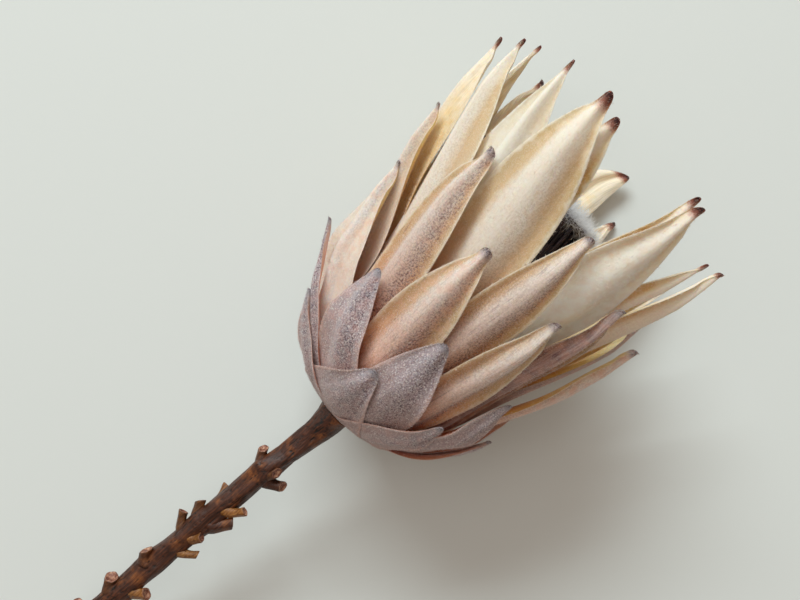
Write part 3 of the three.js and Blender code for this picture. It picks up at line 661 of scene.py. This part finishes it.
def blade_faces(first):
    """Quads of a closed blade whose points start at `first`."""
    n, m = BRACT_ROWS, BRACT_COLUMNS
    out = first + np.arange(n * m).reshape(n, m)
    back = out + n * m
    a, b, c, d = out[:-1, :-1], out[:-1, 1:], out[1:, 1:], out[1:, :-1]
    e, f, g, h = (x + n * m for x in (a, d, c, b))
    quads = [np.stack(q, axis=-1).reshape(-1, 4) for q in (
        (a, b, c, d), (e, f, g, h),
        (out[:-1, 0], out[1:, 0], back[1:, 0], back[:-1, 0]),
        (out[:-1, -1], back[:-1, -1], back[1:, -1], out[1:, -1]),
        (out[0, :-1], back[0, :-1], back[0, 1:], out[0, 1:]),
        (out[-1, :-1], out[-1, 1:], back[-1, 1:], back[-1, :-1]))]
    return np.concatenate(quads).tolist()


def bract_row(name, node, row, bracts, finishes, hairs_per_mm2, hair_length, seed):
    """One ring of bracts as a piece, and the hairs of its felt as another."""
    rng = np.random.default_rng(seed)
    points, marks, faces = [], {}, []
    for number, (azimuth, tip, width, own) in enumerate(bracts):
        faces += blade_faces(number * 2 * BRACT_ROWS * BRACT_COLUMNS)
        looks = BRACT | row | own | {"at": azimuth, "tip": tip, "width": width}
        blade, blade_marks = bract_blade(looks, number, rng)
        points.append(blade.reshape(-1, 3))
        for mark, values in blade_marks.items():
            wide = values.ndim == 4
            marks.setdefault(mark, []).append(values.reshape(-1, 3) if wide else values.ravel())
    marks = {mark: np.concatenate(parts) for mark, parts in marks.items()}
    skin, nap = finishes
    made = new_piece(name + "_bracts", np.concatenate(points), faces, skin, marks)
    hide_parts(node)
    placed(name + "_felt", grown(standing_hairs, made, {
        "Hairs": hairs_per_mm2 * 1e6, "Length": hair_length * MM, "Longest": 1.35, "Width": 0.13 * MM,
        "Tip": 0.0, "Segments": 1, "Sunk": 0.08 * MM, "Lean": 0.7, "Scatter": 0.7, "Curl": 0.0,
        "Curls": 100.0, "Seed": seed + 10, "Finish": nap}))


# Plant felt: dense short hairs over leaf tissue. It is matt, with a pale bloom where it is
# seen edge on, and mottled where the hairs part over the darker skin. Grooves and the
# inside have little of it, so the golden tissue shows there.
def felt(name, looks, bloom=0.0):
    """The felt of a kind of bract, or of its hairs, which have a pale bloom."""
    material, tree = new_material(name)
    spot = add(tree, "ShaderNodeTexCoord").outputs["Object"]
    weft, where, trait = (add(tree, "ShaderNodeAttribute", attribute_name=mark).outputs["Vector"]
                          for mark in ("weft", "where", "trait"))
    off_rib, tone_and_painted_light, golden = (add(tree, "ShaderNodeAttribute", attribute_name=mark).outputs["Fac"]
                              for mark in ("off_rib", "tone_and_painted_light", "golden"))
    along, across, from_tip = add(tree, "ShaderNodeSeparateXYZ", {0: where}).outputs
    inside, shade, dark = add(tree, "ShaderNodeSeparateXYZ", {0: trait}).outputs
    skin, pale, blush, tip_blush = (linear(looks[part]) for part in ("skin", "pale", "blush", "tip_blush"))
    # Speckles of about 0.4 mm, patches of 3 mm, flecks of 0.3 mm, and streaks of 0.4 by 9 mm
    speck, cloud, fleck = (
        add(tree, "ShaderNodeTexNoise", {"Vector": spot, "Scale": size, "Detail": fine, "Roughness": coarse})
        for size, fine, coarse in ((1600.0, 3.0, 0.75), (330.0, 2.0, 0.5), (2100.0, 2.0, 0.5)))
    drawn = add(tree, "ShaderNodeMapping", {"Vector": weft, "Scale": (2.4, 0.11, 1.0)})
    streak = add(tree, "ShaderNodeTexNoise", {"Vector": drawn, "Scale": 1.0, "Detail": 3.0})
    # Places on the bract, with the uneven limits of its rib, grooves, margins and tip
    aside = add(tree, "ShaderNodeMath", {0: cloud, 1: 0.22, 2: -0.11}, operation="MULTIPLY_ADD")
    half = add(tree, "ShaderNodeMath", {0: across}, operation="ABSOLUTE")
    half = add(tree, "ShaderNodeMath", {0: half, 1: aside}, operation="ADD")
    off_rib = add(tree, "ShaderNodeMath", {0: off_rib, 1: 0.5, 2: aside}, operation="MULTIPLY_ADD")
    ahead = add(tree, "ShaderNodeMath", {0: cloud, 1: 0.3, 2: -0.15}, operation="MULTIPLY_ADD")
    later = add(tree, "ShaderNodeMath", {0: along, 1: ahead}, operation="ADD")
    rib, groove, margin, lining, fading = (
        add(tree, "ShaderNodeValToRGB", {0: later}, stops=looks[part])
        for part in ("rib", "groove", "margin", "lining", "parting_along"))
    # How far a place is in a groove or on a margin, and how far its hairs part over the skin:
    # in specks on the flanks of the rib, more on its right flank, which is painted shade, and in creases
    in_groove, on_margin, parted, flank, crease, flecked, cloudy, vein = (
        add(tree, "ShaderNodeValToRGB", {0: share}, stops=stops) for share, stops in (
            (off_rib, [(0.4, 0.0), (0.68, 1.0)]), (half, [(0.86, 0.0), (0.96, 1.0)]),
            (speck, [(0.42, 0.0), (0.63, 1.0)]), (off_rib, looks["parting"]),
            (streak, [(0.28, looks["creases"]), (0.44, 0.0)]),
            (fleck, [(0.52, 0.0), (0.68, looks["flecks"])]),
            (cloud, [(0.4, 0.0), (0.65, 1.0)]), (streak, [(0.35, 0.82), (0.65, 1.06)])))
    # The right flank darker than the left: painted shade on the side of the rib turned from the light
    right = add(tree, "ShaderNodeMapRange", {0: across, 1: -0.25, 2: 0.2, 3: 0.45, 4: 1.15})
    # Each layer of the outer face: its colour, and what is multiplied to its share. The layer that pales a
    # bract is partly its own bleaching and partly painted light
    coat = rib
    for colour, share, *factors in (
            (groove, in_groove), (margin, on_margin), (skin, parted, flank, right, fading),
            (skin, crease, fading), (pale, flecked), (skin, tone_and_painted_light, -1.0, streak), (pale, tone_and_painted_light, fading),
            (blush, shade, looks["blush_share"], cloudy)):
        for factor in factors:
            share = add(tree, "ShaderNodeMath", {0: share, 1: factor}, operation="MULTIPLY")
        coat = add(tree, "ShaderNodeMix", {0: share, 6: coat, 7: colour}, data_type="RGBA")
    # The smooth, finely veined inner face, and a tip with a blush round its dark felt
    lining = add(tree, "ShaderNodeMix", {0: 1.0, 6: lining, 7: vein},
                 data_type="RGBA", blend_type="MULTIPLY")
    # The lining colour, also on the right half of a bract by its golden mark: partly bare tissue, partly
    # painted glow in shaded gaps
    lining_and_painted_glow = add(tree, "ShaderNodeMath", {0: inside, 1: golden}, operation="MAXIMUM")
    near = add(tree, "ShaderNodeMath", {0: from_tip, 1: dark}, operation="DIVIDE")
    ragged = add(tree, "ShaderNodeMath", {0: speck, 1: 0.5, 2: -0.25}, operation="MULTIPLY_ADD")
    near = add(tree, "ShaderNodeMath", {0: near, 1: ragged}, operation="ADD")
    blushed = add(tree, "ShaderNodeValToRGB", {0: near}, stops=[(0.55, 1.0), (1.0, 0.0)])
    burnt = add(tree, "ShaderNodeValToRGB", {0: near}, stops=[(0.2, 1.0), (0.75, 0.0)])
    tip = add(tree, "ShaderNodeValToRGB", {0: speck}, stops=looks["tip"])
    paint = coat
    for colour, share in ((lining, lining_and_painted_glow), (tip_blush, blushed), (tip, burnt), (pale, bloom)):
        paint = add(tree, "ShaderNodeMix", {0: share, 6: paint, 7: colour}, data_type="RGBA")
    relief = add(tree, "ShaderNodeBump", {"Height": streak, "Strength": 0.35, "Distance": 0.0003})
    relief = add(tree, "ShaderNodeBump", {
        "Height": speck, "Strength": 0.55, "Distance": 0.00025, "Normal": relief})
    surface = add(tree, "ShaderNodeBsdfPrincipled", {
        "Base Color": paint, "Roughness": 0.9, "Specular IOR Level": 0.2, "Normal": relief,
        "Subsurface Weight": 0.0 if bloom else looks["through"], "Subsurface Radius": (1.0, 0.5, 0.25),
        "Subsurface Scale": 0.004, "Sheen Weight": 0.35, "Sheen Roughness": 0.5, "Sheen Tint": pale})
    add(tree, "ShaderNodeOutputMaterial", {0: surface})
    return material


# The orange and peach stops low on the bract are partly its own warm colour and partly painted glow deep
# between the bracts, where they lie in shade; the palest lining stops are partly painted light on inner
# faces turned from the lamps
CREAM = {
    "rib": [(0.2, "#e8945c"), (0.36, "#efc6a6"), (0.52, "#f1dfd0"), (0.9, "#f4e8d8")],
    "groove": [(0.2, "#dc7238"), (0.4, "#eaa878"), (0.56, "#cfa572"), (0.8, "#cfad7a"), (0.94, "#ead6b8")],
    "margin": [(0.2, "#dc7c46"), (0.4, "#f2c8a4"), (0.56, "#f0e0c4"), (0.9, "#f3e9d2")],
    "parting": [(0.0, 0.15), (0.3, 0.6), (0.6, 0.7), (0.95, 0.15)],
    "parting_along": [(0.3, 1.0), (0.8, 0.45), (0.95, 0.1)], "creases": 0.2, "through": 0.3,
    "skin": "#9c7248", "flecks": 0.2, "pale": "#f6efe2", "blush": "#eabfa6", "blush_share": 0.25,
    "lining": [(0.3, "#cf7130"), (0.5, "#e0a850"), (0.68, "#f4d096"), (0.9, "#fdead2")],
    "tip_blush": "#a8705f", "tip": [(0.4, "#210e10"), (0.6, "#4a2422")],
}
cream_felt = felt("cream_plant_felt", CREAM), felt("cream_felt_hairs", CREAM, 0.55)

BRACT = {  # where a row or a bract's own line says nothing else
    "lean": 0,  # degrees that its tip is further round the head
    "hook": 0,  # millimetres that its very tip bends sideways
    "twist": 0,  # degrees that the blade turns about its middle line
    "bend": 3,  # high where it makes for its "rim" radius late
    "thick": 1.5,
    "broad": 0.5,  # share of the length where it is widest
    "foot": 0.5,  # share of the width at its foot
    "fade": 2.0,  # high where the blade runs out before the finger
    "round": 30,  # high for a blunt finger, low for a pointed one
    "roll": 0.5,  # share of the length from which the margins roll up
    "curl": 14,  # the radius that they roll up to
    "finger": 1.0,  # how far its tip is rolled into a finger
    "plump": 1.6,  # how much thicker the finger is than the blade
    "dark": 4.0,  # millimetres of dark felt at the tip
    "tone_and_painted_light": 0,  # above 0 paler, below 0 darker; the paleness is partly its own bleaching and partly painted light on bracts that stand in shade
    "golden": 0,  # how far its right half takes the golden lining colour: partly bare tissue, partly painted glow where it stands in shade
}

# A row says where its feet stand ("root") and how far inside the head's outline ("cover"),
# between which stations its bracts come out to it ("from", "clear"), how high the rib is
# ("ridge"), how late they narrow ("taper"), how wide the rib and the finger are against the
# blade ("blunt"), how the rib widens from there ("widens"), and where felt starts ("shown").
THROAT = {
    "root": 13.4, "cover": 16.0, "from": 40, "clear": 130, "ridge": 2.0, "thick": 1.3, "taper": 3.0,
    "blunt": 0.19, "widens": 0.04, "dark": 5.0, "shown": 62
}
THROAT_BRACTS = [  # azimuth, station of the tip, width, and what is its own
    (-34, 129, 25, {"rim": 53, "broad": 0.6, "taper": 2.4, "blunt": 0.09, "round": 6, "plump": 0.6,
     "tone_and_painted_light": 1.4}),
    (-17, 127, 20, {"lean": 5, "rim": 43, "broad": 0.7, "taper": 3.0}), (30, 129, 18, {"rim": 47}),
    (56, 119, 20, {"lean": -4, "rim": 52, "blunt": 0.08, "round": 5, "dark": 4.0, "plump": 0.3}),
    (104, 117, 18, {"rim": 48}), (150, 104, 14, {"rim": 32}),
    (184, 129, 15, {"lean": -9.5, "rim": 49, "hook": -6, "dark": 4.0, "broad": 0.8, "taper": 3.5,
     "fade": 1.0, "blunt": 0.15, "curl": 60, "roll": 0.8, "finger": 0.3}),
    (200, 106, 15, {"rim": 35}), (234, 127, 25, {"rim": 44, "curl": 24}),
    (252, 133, 25, {"rim": 46, "blunt": 0.1, "round": 6, "dark": 3.5, "plump": 0.5, "curl": 24}),
    (241, 109, 12, {"rim": 39}), (262, 98, 12, {"rim": 34}),
]
bract_row("throat", "inner_bracts", THROAT, THROAT_BRACTS, cream_felt,
          hairs_per_mm2=2.2, hair_length=0.75, seed=11)

# The crown bracts. The outer ring of the longest bracts, which make the wall of the mouth.
# They are cream, with golden grooves beside the rib, and end in blunt or pointed dark tips.

CROWN = {
    "root": 10.8, "cover": 13.8, "from": 34, "clear": 124, "ridge": 2.4, "thick": 1.4, "taper": 3.2,
    "blunt": 0.17, "widens": 0.045, "curl": 15, "dark": 6.5, "shown": 58
}
CROWN_BRACTS = [
    (-91, 122, 31, {"lean": 16, "rim": 53.6, "bend": 2.4, "clear": 102, "blunt": 0.09, "round": 5,
     "dark": 5.0, "plump": 0.3, "golden": 0.85}),
    (-61, 125, 30, {"lean": 1, "rim": 53, "blunt": 0.1, "round": 6, "hook": 2, "dark": 4.0, "plump": 0.3,
     "tone_and_painted_light": 0.35}),
    (-5, 129.5, 28, {"lean": -12, "blunt": 0.15, "broad": 0.58, "foot": 0.3, "tone_and_painted_light": 0.25}),
    # Its paleness is painted light on a bract that stands in shade
    (42, 127, 26, {"lean": -13, "blunt": 0.17, "dark": 5.0, "tone_and_painted_light": 1.5}),
    (77, 122.5, 21, {"lean": -1, "rim": 51, "twist": -14, "blunt": 0.16, "dark": 3.0}),
    (134, 120, 20, {"rim": 50}), (167, 114, 20, {"lean": -9, "rim": 53.4, "dark": 5.0}), (208, 119, 20, {}),
    (247, 118, 20, {"blunt": 0.12}),
]
bract_row("crown", "inner_bracts", CROWN, CROWN_BRACTS, cream_felt,
          hairs_per_mm2=2.0, hair_length=0.8, seed=12)

# The long bracts. They stand outside the crown and end about two thirds of the way up it,
# pink-beige with a felted rib, smooth tan grooves and a blunt, grey-purple felted tip.

# The orange stops low on the bract are partly its own warm colour and partly painted glow deep between the
# bracts, where they lie in shade
BLUSH = {
    "rib": [(0.2, "#d4906f"), (0.4, "#dcb8a6"), (0.62, "#e2cfc3"), (0.92, "#e6dacf")],
    "groove": [(0.18, "#c8643a"), (0.38, "#dc9f76"), (0.58, "#c6a27a"), (0.9, "#d5b996")],
    "margin": [(0.15, "#d47c50"), (0.4, "#e9bd9b"), (0.62, "#eddcbe"), (0.92, "#ecdfc6")],
    "parting": [(0.0, 0.45), (0.2, 0.6), (0.42, 1.0), (0.66, 0.9), (0.9, 0.1)],
    "parting_along": [(0.25, 1.0), (0.95, 0.6)], "creases": 0.6, "through": 0.35,
    "skin": "#6b4a4e", "flecks": 0.3, "pale": "#f3ebe4", "blush": "#e2a98f", "blush_share": 0.5,
    "lining": [(0.3, "#c0683a"), (0.6, "#d6a25e"), (0.9, "#e8cf9e")],
    "tip_blush": "#b9aca8", "tip": [(0.4, "#4f464b"), (0.5, "#857b7e"), (0.6, "#b9b1b0")],
}
blush_felt = felt("blush_plant_felt", BLUSH), felt("blush_felt_hairs", BLUSH, 0.5)

LONG = {
    "root": 7.2, "cover": 9.5, "from": 26, "clear": 84, "ridge": 2.3, "broad": 0.52, "taper": 2.8,
    "blunt": 0.27, "widens": 0.015, "foot": 0.55, "shown": 40
}
LONG_BRACTS = [
    (-72, 93.6, 20, {"rim": 53, "twist": 12, "broad": 0.45, "taper": 1.8, "fade": 1.0, "blunt": 0.1,
     "round": 6, "dark": 3.0, "plump": 0.3, "tone_and_painted_light": 0.6, "golden": 0.2}),
    (-34, 95, 20, {}), (13, 98, 19, {"dark": 3.0}), (55, 91, 16, {"lean": -10, "tone_and_painted_light": -1.3}),
    (100, 95, 17, {"twist": -10, "tone_and_painted_light": -0.9}), (145, 97, 18, {}), (189, 95, 18, {}), (234, 96, 18, {}),
]
bract_row("long", "middle_bracts", LONG, LONG_BRACTS, blush_felt,
          hairs_per_mm2=2.6, hair_length=0.75, seed=13)

# The short bracts. The next row outwards, shaped like the long ones but only half as long,
# so that each long bract shows in the gap between two of them.

SHORT = {
    "root": 4.2, "cover": 7.5, "from": 20, "clear": 62, "ridge": 2.2, "thick": 1.6, "taper": 2.7,
    "blunt": 0.26, "widens": 0.015, "foot": 0.6, "shown": 24
}
SHORT_BRACTS = [
    (-58, 71.6, 29, {"lean": -12.5, "rim": 48.5, "broad": 0.33, "taper": 1.4, "fade": 1.0, "foot": 0.42,
     "from": 14, "clear": 42, "twist": 12, "blunt": 0.08, "round": 5, "dark": 3.0, "plump": 0.3,
     "tone_and_painted_light": 0.7}),
    (-8, 74, 21, {}), (31, 74, 18, {}), (78, 86, 16, {"rim": 52}), (122, 74, 18, {}),
    (166, 73, 20, {"rim": 48}), (210, 74, 20, {}), (255, 72, 18, {}),
]
bract_row("short", "middle_bracts", SHORT, SHORT_BRACTS, blush_felt,
          hairs_per_mm2=2.8, hair_length=0.75, seed=14)

# The lower bracts. Broad, pointed bracts round the bowl of the head, covered all over in
# short grey-mauve felt, with pinkish margins where the felt is thin.

GREY = {
    "rib": [(0.1, "#b59d97"), (0.5, "#b3a3a4"), (0.9, "#a9a3a8")],
    "groove": [(0.1, "#b98f83"), (0.5, "#af9a98"), (0.9, "#a79ea2")],
    "margin": [(0.1, "#cf9f8d"), (0.5, "#d8b1a2"), (0.9, "#b9a7a6")],
    "parting": [(0.0, 0.85), (0.9, 1.0), (1.0, 0.4)],
    "parting_along": [(0.0, 0.9), (0.9, 1.0)], "creases": 0.4, "through": 0.2,
    "skin": "#564550", "flecks": 0.75, "pale": "#e6dfdd", "blush": "#cfa197", "blush_share": 0.35,
    "lining": [(0.3, "#b5664a"), (0.7, "#d99a80"), (0.95, "#b59a92")],
    "tip_blush": "#a09a9e", "tip": [(0.4, "#5c575d"), (0.6, "#a39da3")],
}
grey_felt = felt("grey_plant_felt", GREY), felt("grey_felt_hairs", GREY, 0.45)

LOWER = {
    "root": 0.4, "cover": 2.8, "from": 12, "clear": 28, "ridge": 0.9, "broad": 0.4, "taper": 1.8,
    "fade": 1.0, "blunt": 0.12, "widens": 0.06, "foot": 0.7, "curl": 16, "roll": 0.6, "finger": 0.2,
    "dark": 3.0, "shown": 4
}
LOWER_BRACTS = [
    (-40, 42.6, 11, {"lean": -30, "rim": 52, "bend": 3}), (-17, 45, 22, {"lean": -18, "foot": 0.62}),
    (13, 45, 25, {"lean": -5, "foot": 0.55}), (52, 45, 18, {"lean": 2}), (97, 44, 18, {}),
    (143, 45, 20, {}), (191, 44, 20, {}), (236, 45, 20, {}),
]
bract_row("lower", "outer_bracts", LOWER, LOWER_BRACTS, grey_felt,
          hairs_per_mm2=4.0, hair_length=0.65, seed=15)

# The skirt bracts. The outermost and shortest, almost triangular, pressed flat round the
# base of the head and hugging the top of the stem. They have the same grey-mauve felt.

SKIRT = {
    "root": -2.4, "cover": 0, "from": 0, "clear": 1, "ridge": 0.6, "broad": 0.3, "taper": 1.45, "fade": 1.0,
    "blunt": 0.11, "widens": 0.08, "foot": 0.75, "curl": 24, "roll": 0.75, "finger": 0.2, "dark": 2.5,
    "shown": -12
}
SKIRT_BRACTS = [
    (-46, 22.2, 19, {"lean": -14, "rim": 42}), (-18, 23, 34, {"lean": 14, "broad": 0.2, "taper": 1.15}),
    (30, 25, 20, {"lean": 8}), (82, 29, 18, {"lean": 6, "rim": 43}), (122, 22, 20, {}),
    (163, 24, 21, {"rim": 43.9}), (198, 24, 21, {"rim": 44.1}), (240, 22, 21, {}),
]
bract_row("skirt", "outer_bracts", SKIRT, SKIRT_BRACTS, grey_felt,
          hairs_per_mm2=5.0, hair_length=0.6, seed=16)

# The surface that the flower lies on: a plain, pale, matt board. The light is soft: a wide
# window beyond the picture's top, a pale ceiling and a warm, even fill from all sides.

VIEW_TURN = math.radians(42.8)  # the picture's right side, turned clockwise from +X
RIGHT = Vector((math.cos(VIEW_TURN), -math.sin(VIEW_TURN), 0))
UP = Vector((math.sin(VIEW_TURN), math.cos(VIEW_TURN), 0))
OVER = Vector((0, 0, 1))
BOARD_HALF = 3
LAMPS = {  # way to it in the picture and over it, size, watts, colour
    "window": ((-0.16, 0.77, 0.62), (1.7, 0.9), 64.0, (0.89, 0.98, 1.0)),
    "pale_ceiling": ((-0.20, 0.15, 0.97), (2.0, 2.0), 14.0, (1.0, 0.98, 0.95)),
}
LAMP_AIM = Vector((0.06, 0.0, 0.05))
LAMP_AWAY = 2.6
FILL = {"Color": (1.0, 0.80, 0.66, 1), "Strength": 0.29}

board_mesh = bpy.data.meshes.new("floor")
corners = [(x * BOARD_HALF, y * BOARD_HALF, 0) for x, y in ((-1, -1), (1, -1), (1, 1), (-1, 1))]
board_mesh.from_pydata(corners, [], [(0, 1, 2, 3)])
board = set_down("floor", board_mesh)
paper, tree = new_material("matt_pale_board")
surface = add(tree, "ShaderNodeBsdfPrincipled", {
    "Base Color": linear("#dbe0dd"), "Roughness": 0.9, "Specular IOR Level": 0.2})
add(tree, "ShaderNodeOutputMaterial", {0: surface})
board_mesh.materials.append(paper)

for name, (way, size, watts, colour) in LAMPS.items():
    lamp = bpy.data.lights.new(name, "AREA")
    lamp.shape = "RECTANGLE"
    lamp.size, lamp.size_y = size
    lamp.energy = watts
    lamp.color = colour
    shining = set_down(name, lamp)
    way = (RIGHT * way[0] + UP * way[1] + OVER * way[2]).normalized()
    shining.location = LAMP_AIM + way * LAMP_AWAY
    shining.rotation_euler = way.to_track_quat("Z", "Y").to_euler()

world = bpy.data.worlds.new("even_fill")
world.use_nodes = True
for socket, value in FILL.items():
    world.node_tree.nodes["Background"].inputs[socket].default_value = value
bpy.context.scene.world = world
bpy.context.scene.view_settings.view_transform = "Standard"

# The camera. It looks straight down on the flower, and the picture's frame is turned to the
# stem, which runs to the lower left.

LENS = 47.65
SENSOR_WIDTH = 36
CAMERA_PLACE = (0.0385, 0.01268, 0.405)

eye = bpy.data.cameras.new("camera")
eye.lens = LENS
eye.sensor_width = SENSOR_WIDTH
camera = set_down("camera", eye)
camera.location = CAMERA_PLACE
camera.rotation_euler = (0, 0, -VIEW_TURN)
bpy.context.scene.camera = camera
